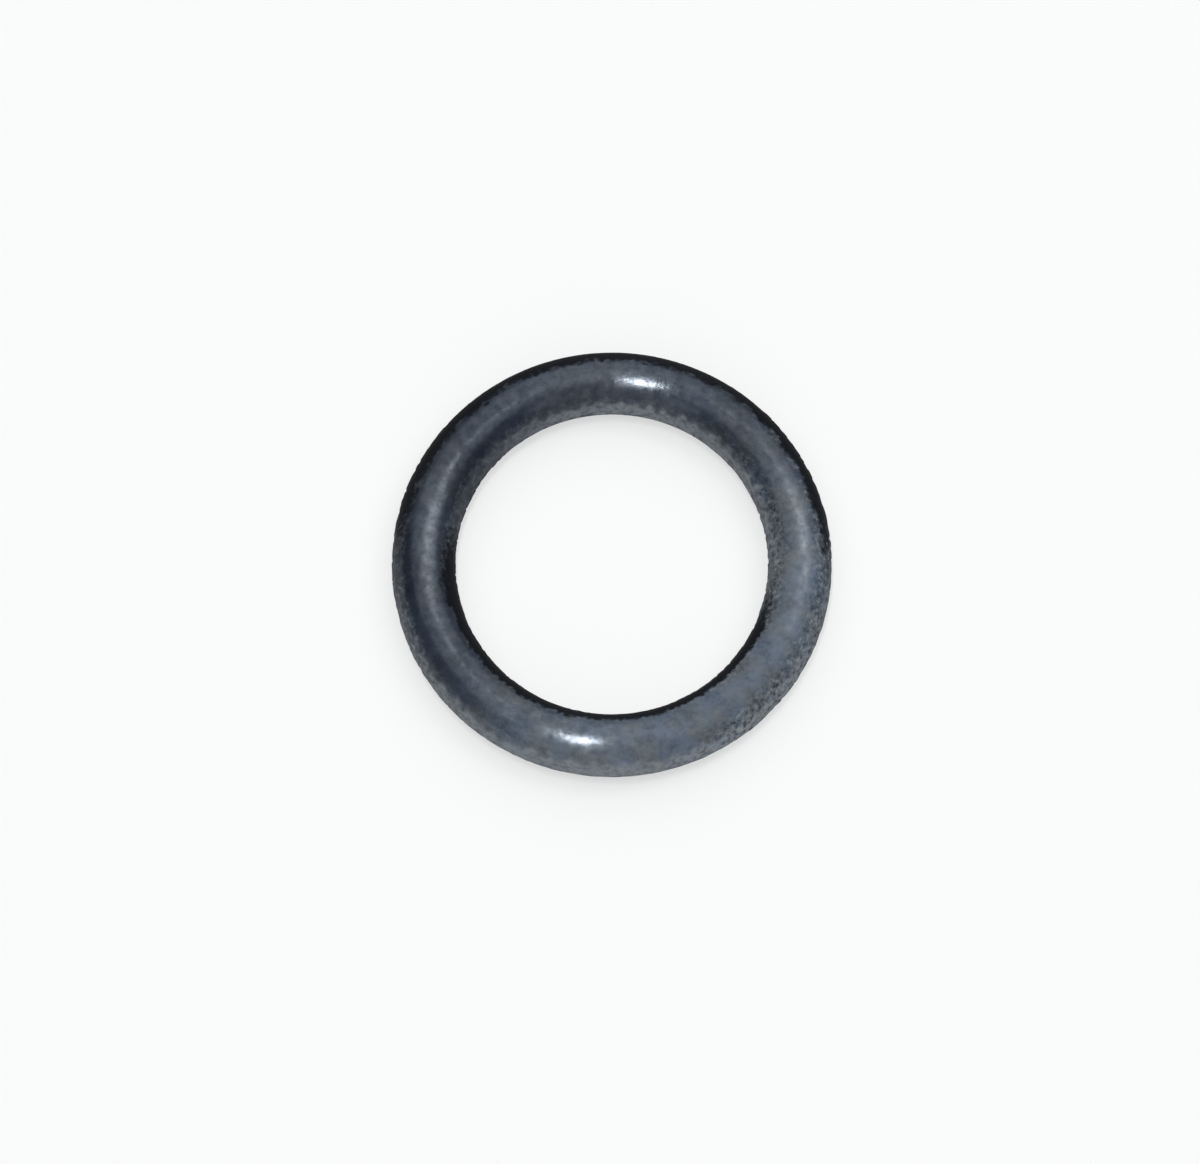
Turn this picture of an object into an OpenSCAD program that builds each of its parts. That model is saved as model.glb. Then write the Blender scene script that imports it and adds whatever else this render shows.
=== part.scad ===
// Moulded rubber o-ring: one solid of revolution, round in section, with the trimmed parting line
// that a two-part mould leaves round the inside and the outside at half height.
// Lengths are in millimetres. The origin is the middle of the ring, and +Z is its axis.

/* [Ring] */
// Inner diameter of the ring, not counting the parting line
inner_d = 15; // [8:0.5:60]
// Diameter of the round section, which is also the ring's height
section_d = 3; // [1.5:0.1:6]

/* [Parting line] */
// Height that the trimmed flash stands proud of the round section
flash_h = 0.05; // [0.02:0.01:0.12]
// Width of the flash at its crest, a narrow flat land
flash_w = 0.12; // [0.06:0.01:0.2]
// Width of each sloping flank, from the land to the round section
flank_w = 0.06; // [0.02:0.01:0.15]

/* [Hidden] */
$fn = 96;

// Radius of the circle that the middle of the section follows
middle_r = (inner_d + section_d) / 2;
// Radius of the round section
section_r = section_d / 2;
// Half the width of the flash where it leaves the round section
root_half_w = flash_w / 2 + flank_w;
// How far the flash's root lies inside the section's widest point, where the round falls away
root_sink = section_r - sqrt(section_r ^ 2 - root_half_w ^ 2);

// Rubber, as the photograph shows it: black with a cold grey bloom
rubber_colour = "#33363b";

// The parting line in section: a thin band that runs right across the round and stands a
// little proud of it on both sides, each side with a flat land and two sloping flanks
module flash_section() {
    land_x = section_r + flash_h;
    root_x = section_r - root_sink;
    polygon([
        [-land_x, -flash_w / 2],
        [-root_x, -root_half_w],
        [root_x, -root_half_w],
        [land_x, -flash_w / 2],
        [land_x, flash_w / 2],
        [root_x, root_half_w],
        [-root_x, root_half_w],
        [-land_x, flash_w / 2],
    ]);
}

// The whole section about its own middle: the round, and the parting line on both sides
module ring_section() {
    union() {
        circle(r = section_r);
        flash_section();
    }
}

// The section carried round the ring's axis
module o_ring() {
    color(rubber_colour)
        rotate_extrude()
            translate([middle_r, 0])
                ring_section();
}

o_ring();
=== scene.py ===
"""A moulded black rubber o-ring, lying flat on a pale floor under plain studio lamps.

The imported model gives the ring's sizes and place. The ring's piece is worked out here as one
surface: a round section with the trimmed parting line of a two-part mould, carried round the axis,
with the small irregularities of moulded rubber. All lengths are in metres. Directions round the
ring are in degrees, from the right of the picture towards its top.
"""

import logging
import math
from dataclasses import dataclass
from enum import Enum

import bpy
import numpy as np
from mathutils import Matrix, Vector


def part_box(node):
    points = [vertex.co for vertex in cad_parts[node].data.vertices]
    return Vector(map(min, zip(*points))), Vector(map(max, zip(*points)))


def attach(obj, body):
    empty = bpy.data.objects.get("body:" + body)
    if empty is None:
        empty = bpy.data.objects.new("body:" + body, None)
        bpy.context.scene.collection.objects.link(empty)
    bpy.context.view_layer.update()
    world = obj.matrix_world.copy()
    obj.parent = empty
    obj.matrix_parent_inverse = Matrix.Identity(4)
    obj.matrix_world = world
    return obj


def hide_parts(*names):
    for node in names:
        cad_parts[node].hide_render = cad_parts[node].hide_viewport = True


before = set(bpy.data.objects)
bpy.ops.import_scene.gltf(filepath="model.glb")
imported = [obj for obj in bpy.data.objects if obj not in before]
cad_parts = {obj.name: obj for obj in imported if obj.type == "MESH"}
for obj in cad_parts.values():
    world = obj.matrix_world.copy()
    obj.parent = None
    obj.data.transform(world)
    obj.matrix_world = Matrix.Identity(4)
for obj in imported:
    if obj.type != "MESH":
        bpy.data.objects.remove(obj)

LOG = logging.getLogger("o_ring")
MM = 0.001

# The picture's frame, in pixels, and where the ring lies in it
PICTURE_W_PX = 1200
PICTURE_H_PX = 1164
RING_CENTRE_PX = (611.8, 563.5)
OUTER_WIDTH_PX = 438.8

# The camera's height above the ring, in degrees
CAMERA_ELEVATION = 74.4

Colour = tuple[float, float, float]
# The two ends of a rise, and the middle and width of a bell curve
Span = tuple[float, float]
Bell = tuple[float, float]

# A whole share, and the values that a noise pattern mostly keeps between
WHOLE: Span = (0.0, 1.0)
NOISE_SPAN: Span = (0.3, 0.7)

# How many points the outline has across one parting line
LINE_POINTS = 7

# The ring's inner and outer radius, without its parting line
INNER_RADIUS = 7.5 * MM
OUTER_RADIUS = 10.5 * MM

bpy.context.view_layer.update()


class Side(Enum):
    """The two places where the parting line runs round the ring, by their way out from the section."""

    OUTER = 1.0
    INNER = -1.0


class Mark(Enum):
    """The values that the ring's mesh carries for its rubber, by the name of their attribute."""

    FLANK = "flank"
    # Bloom, with a painted sheen near the top
    BLOOM_AND_PAINTED_SHEEN = "bloom"
    # Painted shade: the dark colour on the walls that face the back and along the parting line
    PAINTED_SHADE = "painted_shade"
    HAZE = "haze"
    # Dust, which on the walls that face the front is also painted light, and a painted sheen on the
    # crest
    DUST_AND_PAINTED_LIGHT = "dust_and_painted_light"
    GRIT = "grit"


def smooth_step(value: np.ndarray, low: float | np.ndarray, high: float) -> np.ndarray:
    """Rises from 0 at low to 1 at high, as 3 t squared less 2 t cubed.

    Args:
        value: What is measured.
        low: Where the rise starts.
        high: Where it ends.

    Returns:
        The risen share, from 0 to 1.
    """
    share = np.clip((value - low) / (high - low), 0.0, 1.0)
    return share * share * (3.0 - 2.0 * share)


def hill(value: np.ndarray, middle: float, width: float) -> np.ndarray:
    """A bell curve, e to the minus (value less middle, over width) squared.

    Args:
        value: What is measured.
        middle: Where the curve is 1.
        width: How far from there it has fallen to 1 over e.

    Returns:
        The curve's height, from 0 to 1.
    """
    return np.exp(-(((value - middle) / width) ** 2))


@dataclass(frozen=True)
class Pattern:
    """A noise pattern: how wide its patches are, its finer layers and a shift of its own."""

    size: float
    layers: float
    layer_strength: float
    shift: float = 0.0


@dataclass
class Grain:
    """Smooth random fields on a closed grid, which join up at both of its seams."""

    rows: int
    columns: int
    row_step: float
    column_step: float
    seed: int
    wave_spread: float = 0.5

    def __post_init__(self) -> None:
        """Starts the row of random draws."""
        self.draws = np.random.default_rng(self.seed)

    def field(self, feature: float, stretch: float = 1.0) -> np.ndarray:
        """Draws a field of bumps of one size.

        White noise loses the waves that are longer or shorter than twice the feature, by a bell
        curve on the wave's frequency, and is scaled to a spread of 1.

        Args:
            feature: A bump's width across the rows, in metres.
            stretch: How many times longer the bump is along the rows' own way.

        Returns:
            The field, one value for each grid point.
        """
        noise = np.fft.fft2(self.draws.standard_normal((self.rows, self.columns)))
        along = np.fft.fftfreq(self.rows, self.row_step)[:, None] * stretch
        across = np.fft.fftfreq(self.columns, self.column_step)[None, :]
        waves = np.hypot(along, across) * 2.0 * feature
        made = np.real(np.fft.ifft2(noise * hill(waves, 1.0, self.wave_spread)))
        return (made - made.mean()) / made.std()


@dataclass(frozen=True)
class Waver:
    """An unevenness: the width of its bumps and how far it swings."""

    size: float
    swing: float

    def draw(self, grain: Grain) -> np.ndarray:
        """Draws it over the grid, as a random field times its swing."""
        return self.swing * grain.field(self.size)


class NodeBench:
    """A material's node tree, with short calls for the nodes that the finishes use."""

    def __init__(self, name: str) -> None:
        """Makes an empty material with its shader.

        Args:
            name: The material's name.
        """
        self.material = bpy.data.materials.new(name)
        self.material.use_nodes = True
        self.nodes = self.material.node_tree.nodes
        self.links = self.material.node_tree.links
        self.shader = self.nodes["Principled BSDF"]
        self.place = self.nodes.new("ShaderNodeTexCoord").outputs["Object"]

    def _feed(self, socket: bpy.types.NodeSocket, value: object) -> None:
        """Links a socket to another node, or sets its own value.

        Args:
            socket: The socket.
            value: A number, a colour or another node's output.
        """
        if isinstance(value, bpy.types.NodeSocket):
            self.links.new(value, socket)
        else:
            socket.default_value = value

    def maths(self, operation: str, first: object, second: object = 0.0) -> bpy.types.NodeSocket:
        """Adds one sum.

        Args:
            operation: The sum, in the node's own word.
            first: A number or another node's output.
            second: The same.

        Returns:
            The result.
        """
        node = self.nodes.new("ShaderNodeMath")
        node.operation = operation
        self._feed(node.inputs[0], first)
        self._feed(node.inputs[1], second)
        return node.outputs[0]

    def mark(self, mark: Mark) -> bpy.types.NodeSocket:
        """Reads one of the mesh's own values.

        Args:
            mark: The value.

        Returns:
            The value at the point that is shaded.
        """
        node = self.nodes.new("ShaderNodeAttribute")
        node.attribute_name = mark.value
        return node.outputs["Fac"]

    def noise(self, pattern: Pattern) -> bpy.types.NodeSocket:
        """Adds a noise pattern in the object's own space.

        Args:
            pattern: The pattern's sizes.

        Returns:
            The pattern's value, about 0.5.
        """
        move = self.nodes.new("ShaderNodeMapping")
        move.inputs["Location"].default_value = (pattern.shift,) * 3
        self.links.new(self.place, move.inputs["Vector"])
        node = self.nodes.new("ShaderNodeTexNoise")
        node.inputs["Scale"].default_value = 1.0 / pattern.size
        node.inputs["Detail"].default_value = pattern.layers
        node.inputs["Roughness"].default_value = pattern.layer_strength
        self.links.new(move.outputs["Vector"], node.inputs["Vector"])
        return node.outputs["Fac"]

    def ramp(
        self, value: object, span: Span, start: object = 0.0, end: object = 1.0
    ) -> bpy.types.NodeSocket:
        """Adds a smooth rise from start to end while the value goes through the span.

        Args:
            value: What is measured.
            span: Where the rise starts and ends. It falls where the second is the lower one.
            start: The result before the span.
            end: The result after it.

        Returns:
            The result.
        """
        node = self.nodes.new("ShaderNodeMapRange")
        node.interpolation_type = "SMOOTHSTEP"
        for socket, given in zip(node.inputs, (value, *span, start, end)):
            self._feed(socket, given)
        return node.outputs[0]

    def swing(self, pattern: Pattern, spread: float, middle: float = 1.0) -> bpy.types.NodeSocket:
        """Adds a noise pattern that swings by the spread on both sides of the middle."""
        return self.ramp(self.noise(pattern), NOISE_SPAN, middle - spread, middle + spread)

    def product(self, *values: object) -> bpy.types.NodeSocket:
        """Multiplies two or more values.

        Args:
            values: Numbers or other nodes' outputs.

        Returns:
            The product.
        """
        result = values[0]
        for value in values[1:]:
            result = self.maths("MULTIPLY", result, value)
        return result

    def blend(self, share: object, first: object, second: object) -> bpy.types.NodeSocket:
        """Mixes two colours.

        Args:
            share: The share of the second.
            first: A colour or another node's output.
            second: The same.

        Returns:
            The mixed colour.
        """
        node = self.nodes.new("ShaderNodeMix")
        node.data_type = "RGBA"
        self._feed(node.inputs["Factor"], share)
        colours = [socket for socket in node.inputs if socket.type == "RGBA"]
        for socket, given in zip(colours, (first, second)):
            self._feed(socket, given if isinstance(given, bpy.types.NodeSocket) else (*given, 1.0))
        return next(socket for socket in node.outputs if socket.type == "RGBA")


@dataclass(frozen=True)
class RubberFinish:
    """Carbon-black rubber under a grey-blue bloom, with dust and grit, painted light and painted shade.

    The turning marks of the mould run round the ring, so the gloss spreads across the section and
    stays tight along it. The mesh's marks say where the bloom, dust, painted light and sheen, grit
    and painted shade lie.
    """

    black: Colour = (0.010, 0.0145, 0.025)
    bloom: Colour = (0.080, 0.106, 0.148)
    grey_bloom: Colour = (0.092, 0.106, 0.118)
    speck: Colour = (0.29, 0.315, 0.31)
    # Pale dust colour, also used as painted light on the front walls and as a painted sheen on the crest
    dust_and_painted_light: Colour = (0.26, 0.285, 0.31)
    pit: Colour = (0.004, 0.0045, 0.006)
    # Painted shade: near-black laid on the shoulders and walls that face the back, and along the parting
    # line
    painted_shade: Colour = (0.0036, 0.0043, 0.0060)
    sheen_tint: Colour = (0.80, 0.89, 1.0)
    ior: float = 1.50
    anisotropy: float = 1.0
    uv_name: str = "ring_uv"
    # Roughness
    crest_roughness: float = 0.16
    haze_roughness: float = 0.36
    flank_roughness: float = 0.45
    painted_shade_roughness: float = 0.44
    uneven: Pattern = Pattern(0.45 * MM, 4.0, 0.7, shift=0.7)
    uneven_spread: float = 0.05
    uneven_middle: float = 0.01
    dull_painted_shade: Span = (0.4, 1.0)
    # Specular level, in cleaner and duller patches, and low under the painted shade
    level: float = 0.54
    level_spread: float = 0.22
    level_patches: Pattern = Pattern(0.5 * MM, 5.0, 0.65, shift=0.2)
    level_span: Span = (0.32, 0.68)
    painted_shade_level: float = 0.08
    level_painted_shade: Span = (0.0, 0.7)
    # Bloom, in patches with a finer mottle, and the turn from blue to grey
    patches: Pattern = Pattern(0.9 * MM, 4.0, 0.6)
    patch_spread: float = 0.28
    mottle: Pattern = Pattern(0.22 * MM, 3.0, 0.65, shift=0.5)
    mottle_spread: float = 0.24
    hue: Pattern = Pattern(2.2 * MM, 3.0, 0.55, shift=0.05)
    hue_span: Span = (0.38, 0.62)
    # Dust with its painted light and sheen, specks and pits, all from one fine pattern
    fine: Pattern = Pattern(0.26 * MM, 4.0, 0.65, shift=0.3)
    speck_span: Span = (0.50, 0.70)
    speck_share: float = 0.6
    pit_span: Span = (0.50, 0.36)
    pit_share: float = 0.75
    flank_pits: float = 0.25
    dust_span: Span = (0.35, 0.6)
    dust_least: float = 0.5
    dust_share: float = 0.68
    # The painted shade's ragged edge
    torn: Pattern = Pattern(0.22 * MM, 3.0, 0.65, shift=0.9)
    torn_spread: float = 0.17
    painted_shade_span: Span = (0.12, 0.88)
    # The grain's bump
    grain: Pattern = Pattern(0.13 * MM, 3.0, 0.55, shift=0.11)
    grain_depth: float = 0.012 * MM
    crest_grain: float = 0.1

    def material(self) -> bpy.types.Material:
        """Makes the rubber's node material.

        Returns:
            The material, with its patterns on Object coordinates and its tangent on the UV map.
        """
        bench = NodeBench("black_rubber")
        shader = bench.shader
        shader.inputs["IOR"].default_value = self.ior
        shader.inputs["Anisotropic"].default_value = self.anisotropy
        shader.inputs["Specular Tint"].default_value = (*self.sheen_tint, 1.0)
        tangent = bench.nodes.new("ShaderNodeTangent")
        tangent.direction_type = "UV_MAP"
        tangent.uv_map = self.uv_name
        bench.links.new(tangent.outputs["Tangent"], shader.inputs["Tangent"])
        flank = bench.mark(Mark.FLANK)
        painted_shade = self._painted_shade(bench)
        bench.links.new(self._colour(bench, flank, painted_shade), shader.inputs["Base Color"])
        bench.links.new(self._roughness(bench, flank, painted_shade), shader.inputs["Roughness"])
        bench.links.new(self._level(bench, painted_shade), shader.inputs["Specular IOR Level"])
        bench.links.new(self._grain(bench, flank), shader.inputs["Normal"])
        return bench.material

    def _painted_shade(self, bench: NodeBench) -> bpy.types.NodeSocket:
        """Builds the painted shade's share, with a ragged edge."""
        torn = bench.swing(self.torn, self.torn_spread, middle=0.0)
        return bench.ramp(bench.maths("ADD", bench.mark(Mark.PAINTED_SHADE), torn), self.painted_shade_span)

    def _bloomed(self, bench: NodeBench, clear: bpy.types.NodeSocket) -> bpy.types.NodeSocket:
        """Builds the black rubber with its bloom, which the painted shade covers.

        Args:
            bench: The material's nodes.
            clear: The share that the painted shade leaves clear.

        Returns:
            The colour.
        """
        patches = bench.swing(self.patches, self.patch_spread)
        mottle = bench.swing(self.mottle, self.mottle_spread)
        amount = bench.product(bench.mark(Mark.BLOOM_AND_PAINTED_SHEEN), patches, mottle, clear)
        hue = bench.ramp(bench.noise(self.hue), self.hue_span)
        return bench.blend(amount, self.black, bench.blend(hue, self.bloom, self.grey_bloom))

    def _colour(
        self, bench: NodeBench, flank: bpy.types.NodeSocket, painted_shade: bpy.types.NodeSocket
    ) -> bpy.types.NodeSocket:
        """Builds the whole colour: the bloomed rubber, then dust with its painted light and sheen,
        specks and pits, then the painted shade.

        Args:
            bench: The material's nodes.
            flank: The share of the flank.
            painted_shade: The share of the painted shade.

        Returns:
            The colour.
        """
        clear = bench.maths("SUBTRACT", 1.0, painted_shade)
        base = self._bloomed(bench, clear)
        fine = bench.noise(self.fine)
        grit = bench.mark(Mark.GRIT)
        thin = bench.ramp(fine, self.dust_span, self.dust_least, 1.0)
        dust_and_painted_light = bench.product(bench.mark(Mark.DUST_AND_PAINTED_LIGHT), thin, clear, self.dust_share)
        # Dust lightens the colour; on the front walls this is painted light
        dusted_and_lit = bench.blend(dust_and_painted_light, base, self.dust_and_painted_light)
        speck = bench.product(bench.ramp(fine, self.speck_span, 0.0, self.speck_share), grit, clear)
        pitted = bench.maths("MAXIMUM", grit, bench.product(flank, self.flank_pits))
        pit = bench.product(bench.ramp(fine, self.pit_span, 0.0, self.pit_share), pitted)
        spotted = bench.blend(pit, bench.blend(speck, dusted_and_lit, self.speck), self.pit)
        # Painted shade: the near-black colour is laid over everything else
        return bench.blend(painted_shade, spotted, self.painted_shade)

    def _roughness(
        self, bench: NodeBench, flank: bpy.types.NodeSocket, painted_shade: bpy.types.NodeSocket
    ) -> bpy.types.NodeSocket:
        """Builds the roughness: lowest on the clean crest, higher on the hazy crest and the flanks.

        Args:
            bench: The material's nodes.
            flank: The share of the flank.
            painted_shade: The share of the painted shade, which has a roughness of its own.

        Returns:
            The roughness.
        """
        uneven = bench.swing(self.uneven, self.uneven_spread, middle=self.uneven_middle)
        crest = bench.ramp(bench.mark(Mark.HAZE), WHOLE, self.crest_roughness, self.haze_roughness)
        side = bench.ramp(flank, WHOLE, crest, self.flank_roughness)
        return bench.ramp(painted_shade, self.dull_painted_shade, bench.maths("ADD", side, uneven), self.painted_shade_roughness)

    def _level(self, bench: NodeBench, painted_shade: bpy.types.NodeSocket) -> bpy.types.NodeSocket:
        """Builds the specular level, in patches, and low under the painted shade.

        Args:
            bench: The material's nodes.
            painted_shade: The share of the painted shade.

        Returns:
            The level.
        """
        low, high = self.level - self.level_spread, self.level + self.level_spread
        clean = bench.ramp(bench.noise(self.level_patches), self.level_span, low, high)
        return bench.ramp(painted_shade, self.level_painted_shade, clean, self.painted_shade_level)

    def _grain(self, bench: NodeBench, flank: bpy.types.NodeSocket) -> bpy.types.NodeSocket:
        """Builds the fine grain as bump, deepest on the flanks.

        Args:
            bench: The material's nodes.
            flank: The share of the flank.

        Returns:
            The bumped normal.
        """
        bump = bench.nodes.new("ShaderNodeBump")
        bump.inputs["Strength"].default_value = 1.0
        bump.inputs["Distance"].default_value = self.grain_depth
        height = bench.product(bench.noise(self.grain), bench.ramp(flank, WHOLE, self.crest_grain))
        bench.links.new(height, bump.inputs["Height"])
        return bump.outputs["Normal"]


@dataclass
class RingSurface:
    """The ring's grid of points and normals, and what the wear measures on it.

    The tilt is 0 on the crests and 1 on the walls. The turn is the direction from the axis, in
    degrees. Out is the normal's outward part, from minus 1 on the inner wall to 1 on the outer one.
    """

    points: np.ndarray
    normals: np.ndarray
    outer_radius: float
    least_tilt: float = 0.01

    def __post_init__(self) -> None:
        """Works out the tilt, the turn and out."""
        x, y = self.points[..., 0], self.points[..., 1]
        self.tilt = np.hypot(self.normals[..., 0], self.normals[..., 1])
        self.turn = np.degrees(np.arctan2(y, x))
        self.out = (self.normals[..., 0] * x + self.normals[..., 1] * y) / np.hypot(x, y)

    def lean_to(self, side: float) -> np.ndarray:
        """Measures how far each point lies towards one side of the ring.

        Args:
            side: The side, in degrees.

        Returns:
            The way from the axis towards that side, as a share of the outer radius.
        """
        way = math.radians(side)
        along = self.points[..., 0] * math.cos(way) + self.points[..., 1] * math.sin(way)
        return along / self.outer_radius

    def near(self, side: float, width: float) -> np.ndarray:
        """Gives a bell curve round the ring, with its middle at the side, both in degrees."""
        return hill((self.turn - side + 180.0) % 360.0 - 180.0, 0.0, width)

    def faces(self, way: np.ndarray) -> np.ndarray:
        """Measures how squarely the wall faces a way.

        Args:
            way: The way for each point, in degrees.

        Returns:
            1 where the wall faces that way, 0 where it stands across it and minus 1 where it faces
            the other way.
        """
        way = np.radians(way)
        along = self.normals[..., 0] * np.cos(way) + self.normals[..., 1] * np.sin(way)
        return along / np.maximum(self.tilt, self.least_tilt)


@dataclass(frozen=True)
class Wear:
    """Where the ring carries bloom, painted shade, haze, dust with painted light, painted sheen and
    grit.

    A side or the first number of a place is a direction from the axis. An out, a tilt or a facing
    is a measure of the ring's surface, and a lean is the way towards a side.
    """

    # Flank
    flank_tilt: Span = (0.50, 0.92)
    flank_waver: Waver = Waver(0.3 * MM, 0.02)
    # The slow drift of bloom, painted shade, haze and grit
    drift_size: float = 2.2 * MM
    drift_stretch: float = 1.6
    # Bloom, thicker towards the lower right, with a painted sheen near the top, and taken off the right
    # outer wall and two stretches
    bloom_side: float = -46.0
    bloom_lean: Span = (-0.7, 0.8)
    bloom_least: float = 0.08
    bloom_drift: float = 0.05
    top_painted_sheen_place: Bell = (95.0, 24.0)
    top_painted_sheen_out: Span = (-0.32, -0.05)
    top_painted_sheen_share: float = 0.42
    less_bloom_wall_place: Bell = (0.0, 24.0)
    less_bloom_wall_out: Span = (0.35, 0.8)
    less_bloom_wall_share: float = 0.4
    less_bloom_place: Bell = (38.0, 24.0)
    less_bloom_share: float = 0.26
    far_less_bloom_place: Bell = (222.0, 24.0)
    far_less_bloom_share: float = 0.14
    # Painted shade, on the shoulders and walls that face the back, with one stretch where it starts
    # lower
    painted_shade_side: float = 83.0
    painted_shade_lean: float = 5.0
    painted_shade_facing: Span = (-0.3, 0.5)
    painted_shade_tilt: Span = (0.30, 0.78)
    painted_shade_tilt_bloom: float = 0.22
    painted_shade_tilt_low: float = 0.12
    low_painted_shade_place: Bell = (212.0, 18.0)
    painted_shade_fine: Waver = Waver(0.22 * MM, 0.035)
    painted_shade_broad: Waver = Waver(0.8 * MM, 0.04)
    painted_shade_calm: float = 0.6
    painted_shade_rise: Span = (-0.45, 0.42)
    painted_shade_least: float = 0.34
    painted_shade_drift: float = 0.08
    # Painted shade: a dark line along the parting line
    line_fine: Waver = Waver(0.35 * MM, 0.6)
    line_broad: Waver = Waver(1.1 * MM, 0.7)
    line_least: float = 0.26
    line_spread: float = 0.30
    line_span: Span = (-1.0, 1.4)
    line_width: float = 0.085 * MM
    # Haze
    haze_side: float = -38.0
    haze_lean: Span = (0.45, 0.85)
    haze_drift: float = 0.06
    # Dust on the walls that face the front, where it is also painted light, with one stretch where it
    # starts lower and one clean side
    dust_and_light_facing: Span = (-0.2, 0.8)
    dust_and_light_tilt: Span = (0.70, 0.95)
    dust_and_light_tilt_low: float = 0.10
    low_dust_and_light_place: Bell = (100.0, 30.0)
    dust_and_light_waver: Waver = Waver(0.4 * MM, 0.04)
    clean_side: float = 180.0
    clean_lean: Span = (0.2, 1.0)
    clean_out: Span = (0.0, 0.5)
    clean_share: float = 0.85
    # Painted sheen on the crest at the right and the left
    right_painted_sheen_place: Bell = (0.0, 20.0)
    right_painted_sheen_out: Bell = (0.15, 0.14)
    left_painted_sheen_place: Bell = (180.0, 18.0)
    left_painted_sheen_out: Bell = (-0.05, 0.16)
    left_painted_sheen_share: float = 0.45
    painted_sheen_waver: Waver = Waver(0.35 * MM, 0.45)
    painted_sheen_middle: float = 0.85
    painted_sheen_span: Span = (0.15, 1.4)
    # Grit, more on the right than on the left
    grit_side: float = -12.0
    grit_drift: float = 0.08
    right_grit_lean: Span = (0.25, 0.8)
    right_grit_tilt: Span = (0.25, 0.75)
    left_grit_lean: Span = (0.35, 0.9)
    left_grit_tilt: Span = (0.45, 0.85)
    left_grit_share: float = 0.55

    def marks(self, surface: RingSurface, grain: Grain) -> dict[Mark, np.ndarray]:
        """Works out the values that the mesh carries for its rubber.

        Args:
            surface: The ring's points, normals and measures.
            grain: The random fields. The order in which they are drawn is part of the look.

        Returns:
            One grid of values for each mark.
        """
        flank = smooth_step(surface.tilt + self.flank_waver.draw(grain), *self.flank_tilt)
        drift = grain.field(self.drift_size, stretch=self.drift_stretch)
        lean = smooth_step(surface.lean_to(self.bloom_side), *self.bloom_lean)
        bloom = self.bloom_least + (1.0 - self.bloom_least) * lean + self.bloom_drift * drift
        bloom = np.clip(bloom, *WHOLE)
        facing = surface.faces(self.painted_shade_side + self.painted_shade_lean * np.sign(surface.out))
        painted_shade = self._painted_shade(surface, grain, drift, bloom, facing)
        line = self._line(surface, grain)
        dust_and_painted_light = self._dust_and_painted_light(surface, grain, facing)
        haze = smooth_step(surface.lean_to(self.haze_side) + self.haze_drift * drift, *self.haze_lean)
        return {
            Mark.FLANK: flank,
            Mark.BLOOM_AND_PAINTED_SHEEN: self._bloom_with_painted_sheen(surface, bloom),
            Mark.PAINTED_SHADE: np.maximum(painted_shade, line),
            Mark.HAZE: haze,
            Mark.DUST_AND_PAINTED_LIGHT: dust_and_painted_light,
            Mark.GRIT: self._grit(surface, drift),
        }

    def _bloom_with_painted_sheen(self, surface: RingSurface, bloom: np.ndarray) -> np.ndarray:
        """Adds a painted sheen to the bloom near the top, and takes bloom off the right outer wall and
        two stretches.

        Args:
            surface: The ring's points, normals and measures.
            bloom: The bloom's share without them.

        Returns:
            The bloom's share.
        """
        # Painted sheen: more of the pale bloom on the crest and outer wall near the top
        top_painted_sheen = surface.near(*self.top_painted_sheen_place) * smooth_step(surface.out, *self.top_painted_sheen_out)
        # Less bloom, so darker, on the right outer wall and on two stretches round the ring
        less_bloom_wall = surface.near(*self.less_bloom_wall_place) * smooth_step(surface.out, *self.less_bloom_wall_out)
        less_bloom = self.less_bloom_share * surface.near(*self.less_bloom_place)
        less_bloom = less_bloom + self.far_less_bloom_share * surface.near(*self.far_less_bloom_place)
        return np.clip(bloom + self.top_painted_sheen_share * top_painted_sheen - self.less_bloom_wall_share * less_bloom_wall - less_bloom, *WHOLE)

    def _painted_shade(
        self,
        surface: RingSurface,
        grain: Grain,
        drift: np.ndarray,
        bloom: np.ndarray,
        facing: np.ndarray,
    ) -> np.ndarray:
        """Works out the painted shade: it lies where the surface tilts towards the back, and thins
        downwards.

        Args:
            surface: The ring's points, normals and measures.
            grain: The random fields.
            drift: The slow field.
            bloom: The bloom's share. Where it is thick, the painted shade starts further down.
            facing: How squarely each wall faces the back.

        Returns:
            The painted shade's share.
        """
        waver = self.painted_shade_fine.draw(grain) + self.painted_shade_broad.draw(grain)
        waver = waver * (1.0 - self.painted_shade_calm * bloom)
        start, end = self.painted_shade_tilt
        start = start + self.painted_shade_tilt_bloom * bloom
        start = start + self.painted_shade_tilt_low * surface.near(*self.low_painted_shade_place)
        painted_shade = smooth_step(surface.tilt + waver, start, end)
        height = smooth_step(surface.normals[..., 2] + self.painted_shade_drift * drift, *self.painted_shade_rise)
        thinned = self.painted_shade_least + (1.0 - self.painted_shade_least) * height
        # Painted shade: the walls that face the back are darkened
        return smooth_step(facing, *self.painted_shade_facing) * painted_shade * thinned

    def _line(self, surface: RingSurface, grain: Grain) -> np.ndarray:
        """Works out the painted shade along the parting line, darker and fainter by stretches.

        Args:
            surface: The ring's points, normals and measures.
            grain: The random fields.

        Returns:
            The line's painted shade, on the same scale as the shade on the back walls.
        """
        stretches = self.line_fine.draw(grain)[:, :1] + self.line_broad.draw(grain)[:, :1]
        painted_line_shade = self.line_least + self.line_spread * smooth_step(stretches, *self.line_span)
        # Painted shade: a dark line all round the parting line
        return painted_line_shade * hill(surface.points[..., 2], 0.0, self.line_width)

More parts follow.
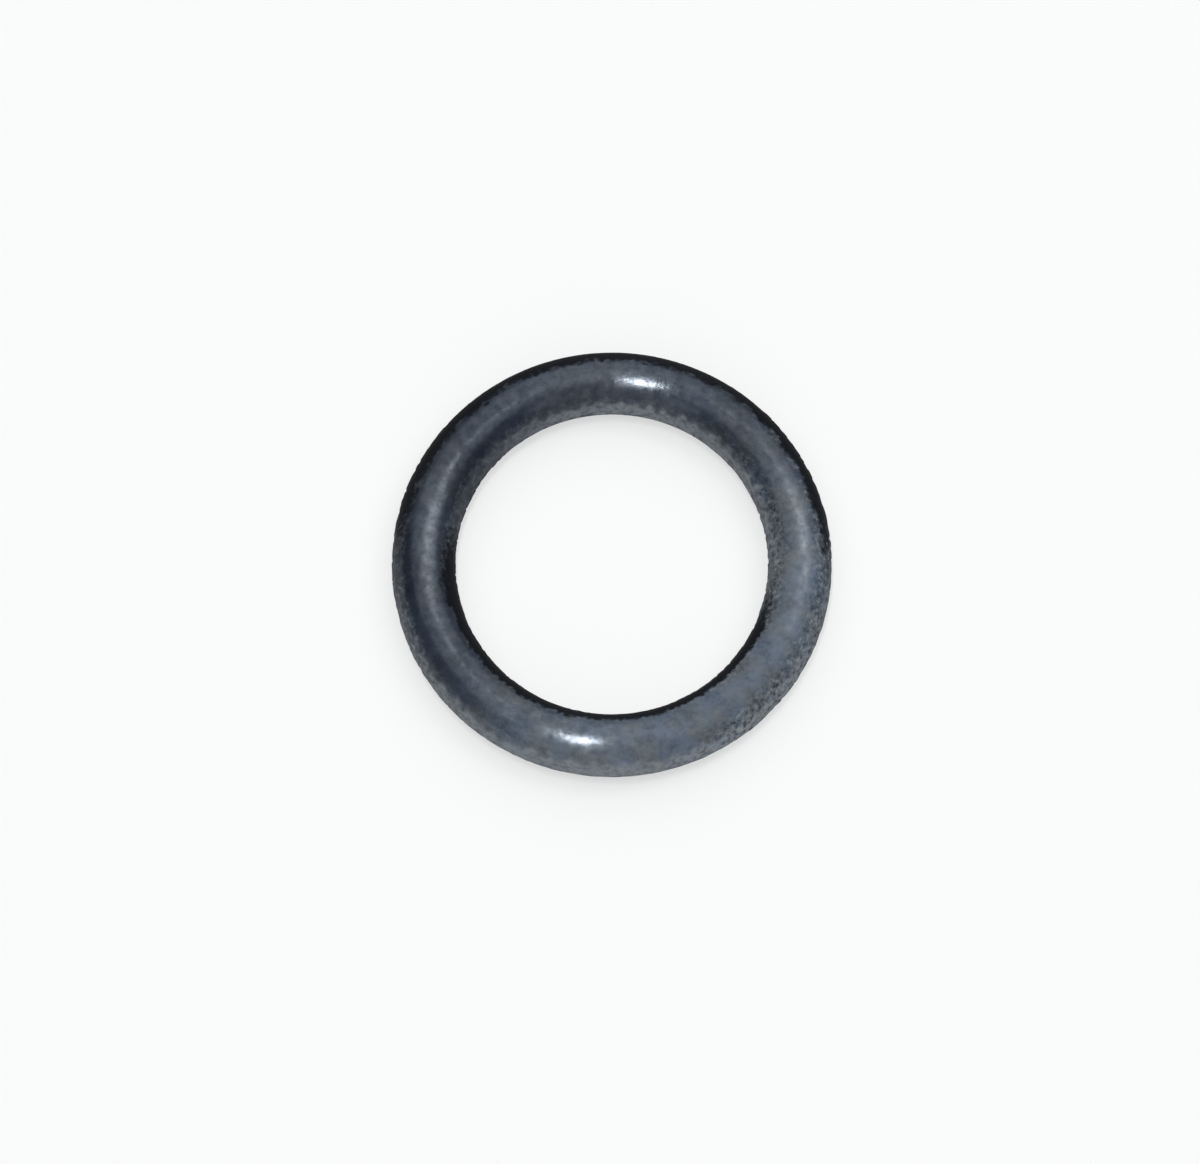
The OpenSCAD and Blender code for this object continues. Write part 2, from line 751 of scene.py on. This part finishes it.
    def _dust_and_painted_light(self, surface: RingSurface, grain: Grain, facing: np.ndarray) -> np.ndarray:
        """Works out the dust on the front walls, which is also painted light, and the painted sheen on
        the crest.

        Args:
            surface: The ring's points, normals and measures.
            grain: The random fields.
            facing: How squarely each wall faces the back.

        Returns:
            The share of dust and painted light, which the painted sheen can take past 1.
        """
        start, end = self.dust_and_light_tilt
        start = start + self.dust_and_light_tilt_low * surface.near(*self.low_dust_and_light_place)
        wall = smooth_step(surface.tilt + self.dust_and_light_waver.draw(grain), start, end)
        # Painted light: the walls that face the front get the pale dust colour
        dust_and_painted_light = smooth_step(-facing, *self.dust_and_light_facing) * wall
        leftward = np.cos(np.radians(surface.turn - self.clean_side))
        clean = smooth_step(leftward, *self.clean_lean) * smooth_step(-surface.out, *self.clean_out)
        dust_and_painted_light = dust_and_painted_light * (1.0 - self.clean_share * clean)
        # Painted sheen: the pale colour on the crest at the right and the left
        right = surface.near(*self.right_painted_sheen_place) * hill(surface.out, *self.right_painted_sheen_out)
        left = surface.near(*self.left_painted_sheen_place) * hill(surface.out, *self.left_painted_sheen_out)
        left = self.left_painted_sheen_share * left
        broken = np.clip(self.painted_sheen_middle + self.painted_sheen_waver.draw(grain), *self.painted_sheen_span)
        return np.maximum(dust_and_painted_light, np.maximum(right, left) * broken)

    def _grit(self, surface: RingSurface, drift: np.ndarray) -> np.ndarray:
        """Works out the grit on the right walls and, thinner, on the left ones.

        Args:
            surface: The ring's points, normals and measures.
            drift: The slow field.

        Returns:
            The grit's share.
        """
        lean = surface.lean_to(self.grit_side)
        wavy = self.grit_drift * drift
        right = smooth_step(wavy + lean, *self.right_grit_lean)
        right = right * smooth_step(surface.tilt, *self.right_grit_tilt)
        left = smooth_step(wavy - lean, *self.left_grit_lean)
        left = left * smooth_step(surface.tilt, *self.left_grit_tilt)
        return np.maximum(right, self.left_grit_share * left)


@dataclass
class MouldedRing:
    """The ring's one piece, as a grid of steps round the ring by steps round the section."""

    half_height: float
    finish: RubberFinish
    wear: Wear
    inner_radius: float = INNER_RADIUS
    outer_radius: float = OUTER_RADIUS
    steps_round: int = 800
    arc_steps: int = 56
    seed: int = 7
    # The parting line, trimmed to a wandering share of its full height
    flash_height: float = 0.05 * MM
    flash_width: float = 0.12 * MM
    flank_width: float = 0.06 * MM
    trim_level: float = 0.66
    trim_broad: Waver = Waver(0.9 * MM, 0.13)
    trim_fine: Waver = Waver(0.25 * MM, 0.10)
    trim_least: float = 0.05
    nick: Waver = Waver(0.22 * MM, 1.0)
    nick_span: Span = (1.0, 1.6)
    nick_share: float = 0.9
    # The flanks' pebbled relief
    relief: float = 0.006 * MM
    pebble_fine: Waver = Waver(0.2 * MM, 0.25)
    pebble_broad: Waver = Waver(0.4 * MM, 0.25)
    relief_most: float = 2.0

    @property
    def section_radius(self) -> float:
        """Radius of the round section."""
        return self.half_height

    @property
    def middle_radius(self) -> float:
        """Radius of the circle that the middle of the section follows."""
        return (self.inner_radius + self.outer_radius) / 2

    def _land_height(self, grain: Grain) -> np.ndarray:
        """Works out how far the trimmed parting line stands proud, for each step round the ring.

        It is a share of the full height that wanders slowly and quickly, and falls to almost
        nothing at the short nicks where the trimming tore the line.

        Args:
            grain: The random fields.

        Returns:
            The height in metres, one for each step.
        """
        wander = self.trim_level + self.trim_broad.draw(grain)[:, 0] + self.trim_fine.draw(grain)[:, 0]
        nick = smooth_step(self.nick.draw(grain)[:, 0], *self.nick_span)
        return self.flash_height * np.clip(wander * (1.0 - self.nick_share * nick), self.trim_least, 1.0)

    def _outline(self, grain: Grain) -> tuple[np.ndarray, np.ndarray]:
        """Works out the section's closed outline at each step round the ring, about its middle.

        Each parting line is a flat land with two straight flanks. Between the lines the outline
        is an arc: x = r cos a, z = r sin a.

        Args:
            grain: The random fields.

        Returns:
            The outline's x and z on the whole grid, anticlockwise from the outer line's lower root.
        """
        land = self.flash_width / 2
        root = land + self.flank_width
        root_angle = math.asin(root / self.section_radius)
        root_x = self.section_radius * math.cos(root_angle)
        middle = (root + land) / 2
        line_z = np.array([-root, -middle, -land, 0.0, land, middle, root])
        on_land = np.interp(np.abs(line_z), [land, root], [1.0, 0.0])
        arc = np.linspace(root_angle, math.pi - root_angle, self.arc_steps + 1)[1:-1]
        arc_x = np.broadcast_to(self.section_radius * np.cos(arc), (self.steps_round, arc.size))
        arc_z = self.section_radius * np.sin(arc)
        lines = {}
        for side in Side:
            top = self.section_radius + self._land_height(grain)[:, None]
            lines[side] = side.value * (root_x + on_land[None, :] * (top - root_x))
        x = np.concatenate([lines[Side.OUTER], arc_x, lines[Side.INNER], -arc_x], axis=1)
        z = np.concatenate([line_z, arc_z, -line_z, -arc_z])
        return x, np.broadcast_to(z, x.shape)

    def build(self) -> bpy.types.Object:
        """Carries the section round the axis and makes the mesh.

        A point at turn t and section point (x, z) lies at ((R + x) cos t, (R + x) sin t, z). The
        pebbled relief of the flanks is then cut inwards along the section's own normal.

        Returns:
            The ring's object, smooth shaded, with its UV map and its marks.
        """
        rows = self.steps_round
        columns = 2 * (self.arc_steps - 1 + LINE_POINTS)
        grain = Grain(
            rows,
            columns,
            math.tau * self.middle_radius / rows,
            math.tau * self.section_radius / columns,
            self.seed,
        )
        x, z = self._outline(grain)
        turn = np.linspace(0.0, math.tau, rows, endpoint=False)[:, None]
        away = np.hypot(x, z)
        normals = np.stack([x / away * np.cos(turn), x / away * np.sin(turn), z / away], axis=-1)
        reach = self.middle_radius + x
        points = np.stack([reach * np.cos(turn), reach * np.sin(turn), z], axis=-1)
        marks = self.wear.marks(RingSurface(points, normals, self.outer_radius), grain)
        pebble = self.pebble_fine.draw(grain) + self.pebble_broad.draw(grain)
        depth = self.relief * marks[Mark.FLANK] * np.clip(1.0 + pebble, 0.0, self.relief_most)
        points = points - depth[..., None] * normals
        piece = self._mesh_object(points, marks)
        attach(piece, "root")
        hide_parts("o_ring")
        return piece

    def _mesh_object(self, points: np.ndarray, marks: dict[Mark, np.ndarray]) -> bpy.types.Object:
        """Makes the closed grid's mesh, its UV map and its attributes.

        Args:
            points: The grid of points, rows round the ring and columns round the section.
            marks: The values for the rubber.

        Returns:
            The object, in the scene.
        """
        rows, columns = points.shape[:2]
        row, column = np.meshgrid(np.arange(rows), np.arange(columns), indexing="ij")
        next_row = (row + 1) % rows
        next_column = (column + 1) % columns
        corners = [(row, column), (next_row, column), (next_row, next_column), (row, next_column)]
        faces = np.stack([r * columns + c for r, c in corners], axis=-1).reshape(-1, 4)
        mesh = bpy.data.meshes.new("moulded_ring")
        mesh.from_pydata(points.reshape(-1, 3).tolist(), [], faces.tolist())
        along = np.stack([row, row + 1, row + 1, row], axis=-1) / rows
        across = np.stack([column, column, column + 1, column + 1], axis=-1) / columns
        layer = mesh.uv_layers.new(name=self.finish.uv_name)
        layer.data.foreach_set("uv", np.stack([across, along], axis=-1).astype(np.float32).ravel())
        for mark, values in marks.items():
            attribute = mesh.attributes.new(mark.value, "FLOAT", "POINT")
            attribute.data.foreach_set("value", values.astype(np.float32).ravel())
        mesh.shade_smooth()
        mesh.update()
        mesh.materials.append(self.finish.material())
        piece = bpy.data.objects.new("moulded_ring", mesh)
        bpy.context.scene.collection.objects.link(piece)
        return piece


@dataclass
class Lamp:
    """One flat lamp, aimed at the ring, with its share of the light that falls on the floor.

    It is a disc, or a rectangle where it has a length. The length lies in the plane of the lamp's
    direction and the camera's mirrored one, so that it widens the glint across the tube.
    """

    name: str
    azimuth: float
    elevation: float
    width: float
    share: float
    length: float = 0.0
    distance: float = 0.6

    def build(self, floor_light: float) -> bpy.types.Object:
        """Makes the lamp. Azimuth 0 is behind the ring as the camera sees it, and 90 is right.

        A disc of radius r at distance d, of power P and seen from the floor at elevation e, lights
        the floor by P sin e / (pi (d squared + r squared)), from which the power is worked out. For
        a rectangle, r squared is about a sixth of the sum of its squared sides.

        Args:
            floor_light: The light on the floor from all the lamps together.

        Returns:
            The lamp's object.
        """
        around = math.radians(self.azimuth)
        up = math.radians(self.elevation)
        data = bpy.data.lights.new(self.name, "AREA")
        data.size = self.width
        if self.length:
            data.shape = "RECTANGLE"
            data.size_y = self.length
            spread = self.distance**2 + (self.width**2 + self.length**2) / 6
        else:
            data.shape = "DISK"
            spread = self.distance**2 + self.width**2 / 4
        data.energy = self.share * floor_light * math.pi * spread / math.sin(up)
        lamp = bpy.data.objects.new(self.name, data)
        away = Vector((math.sin(around) * math.cos(up), math.cos(around) * math.cos(up), math.sin(up)))
        up_view = math.radians(CAMERA_ELEVATION)
        mirrored_view = Vector((0.0, math.cos(up_view), math.sin(up_view)))
        across = mirrored_view.cross(away).normalized()
        turn = Matrix((across, away.cross(across), away)).transposed().to_4x4()
        lamp.matrix_world = Matrix.Translation(away * self.distance) @ turn
        bpy.context.scene.collection.objects.link(lamp)
        return lamp


@dataclass
class Studio:
    """The pale floor, the lamps and the world's plain light.

    The camera, gloss and glass see the floor partly as a plain ground colour and partly as lit
    paint, so the ground is even and keeps the ring's shadow.
    """

    floor_height: float
    lamps: list[Lamp]
    world_share: float = 0.05
    floor_reach: float = 0.6
    floor_white: Colour = (0.895, 0.90, 0.90)
    floor_level: float = 0.955
    ground: Colour = (0.953, 0.960, 0.960)
    ground_share: float = 0.6

    def _paint(self) -> bpy.types.Material:
        """Makes the floor's matt paint, and the ground colour's share for the rays that see it.

        Returns:
            The material.
        """
        paint = bpy.data.materials.new("floor_paint")
        paint.use_nodes = True
        nodes = paint.node_tree.nodes
        links = paint.node_tree.links
        shader = nodes["Principled BSDF"]
        shader.inputs["Base Color"].default_value = (*self.floor_white, 1.0)
        shader.inputs["Roughness"].default_value = 1.0
        shader.inputs["Specular IOR Level"].default_value = 0.0
        glow = nodes.new("ShaderNodeEmission")
        glow.inputs["Color"].default_value = (*self.ground, 1.0)
        seen = nodes.new("ShaderNodeLightPath")
        mix = nodes.new("ShaderNodeMixShader")
        share = None
        for ray in ("Is Camera Ray", "Is Glossy Ray", "Is Transmission Ray"):
            step = nodes.new("ShaderNodeMath")
            step.operation = "MULTIPLY_ADD"
            links.new(seen.outputs[ray], step.inputs[0])
            step.inputs[1].default_value = self.ground_share
            step.inputs[2].default_value = 0.0
            if share is not None:
                links.new(share, step.inputs[2])
            share = step.outputs[0]
        links.new(share, mix.inputs[0])
        links.new(shader.outputs[0], mix.inputs[1])
        links.new(glow.outputs[0], mix.inputs[2])
        links.new(mix.outputs[0], nodes["Material Output"].inputs["Surface"])
        return paint

    def build(self) -> None:
        """Makes the floor, the world and the lamps.

        The floor's light over pi, times its white, is the level that the picture's ground has.
        """
        bpy.ops.mesh.primitive_plane_add(size=2 * self.floor_reach, location=(0, 0, self.floor_height))
        floor = bpy.context.object
        floor.name = "floor"
        floor.data.materials.append(self._paint())
        level = self.floor_level / self.floor_white[1]
        world = bpy.data.worlds.new("studio_air")
        world.use_nodes = True
        background = world.node_tree.nodes["Background"]
        background.inputs["Color"].default_value = (self.world_share * level,) * 3 + (1.0,)
        bpy.context.scene.world = world
        for lamp in self.lamps:
            lamp.build(math.pi * level)


@dataclass
class StudioCamera:
    """The camera, far off with a long lens, at the picture's height above the ring."""

    distance: float = 0.4
    sensor_width: float = 36.0
    clip_span: Span = (0.01, 10.0)

    def build(self) -> bpy.types.Object:
        """Aims the camera so that the ring's middle and width fall where the picture has them.

        Returns:
            The camera's object.
        """
        up = math.radians(CAMERA_ELEVATION)
        back = Vector((0.0, -math.cos(up), math.sin(up)))
        data = bpy.data.cameras.new("camera")
        camera = bpy.data.objects.new("camera", data)
        turn = back.to_track_quat("Z", "Y").to_matrix()
        px = 2 * OUTER_RADIUS / OUTER_WIDTH_PX
        right = turn.col[0]
        top = turn.col[1]
        aim = (
            right * (PICTURE_W_PX / 2 - RING_CENTRE_PX[0]) * px
            - top * (PICTURE_H_PX / 2 - RING_CENTRE_PX[1]) * px
        )
        camera.matrix_world = Matrix.Translation(aim + back * self.distance) @ turn.to_4x4()
        data.sensor_width = self.sensor_width
        data.sensor_fit = "HORIZONTAL"
        data.lens = data.sensor_width * self.distance / (PICTURE_W_PX * px)
        data.clip_start, data.clip_end = self.clip_span
        bpy.context.scene.collection.objects.link(camera)
        bpy.context.scene.camera = camera
        return camera


def main() -> None:
    """Builds the camera, the studio and the ring, in that order."""
    logging.basicConfig(level=logging.INFO, format="%(name)s: %(message)s")
    low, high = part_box("o_ring")
    StudioCamera().build()
    studio = Studio(
        floor_height=low[2],
        lamps=[
            Lamp("overhead", azimuth=219, elevation=85, width=0.025, length=0.125, share=0.27),
            Lamp("back_wide", azimuth=4, elevation=66, width=1.15, share=0.46),
            Lamp("side_right", azimuth=52, elevation=67, width=0.15, length=0.34, share=0.11),
            Lamp("front_wide", azimuth=180, elevation=42, width=0.70, share=0.13),
        ],
    )
    studio.build()
    ring = MouldedRing(half_height=high[2], finish=RubberFinish(), wear=Wear()).build()
    LOG.info("%s: %d faces", ring.name, len(ring.data.polygons))
    bpy.context.scene.view_settings.view_transform = "Standard"


if __name__ == "__main__":
    main()
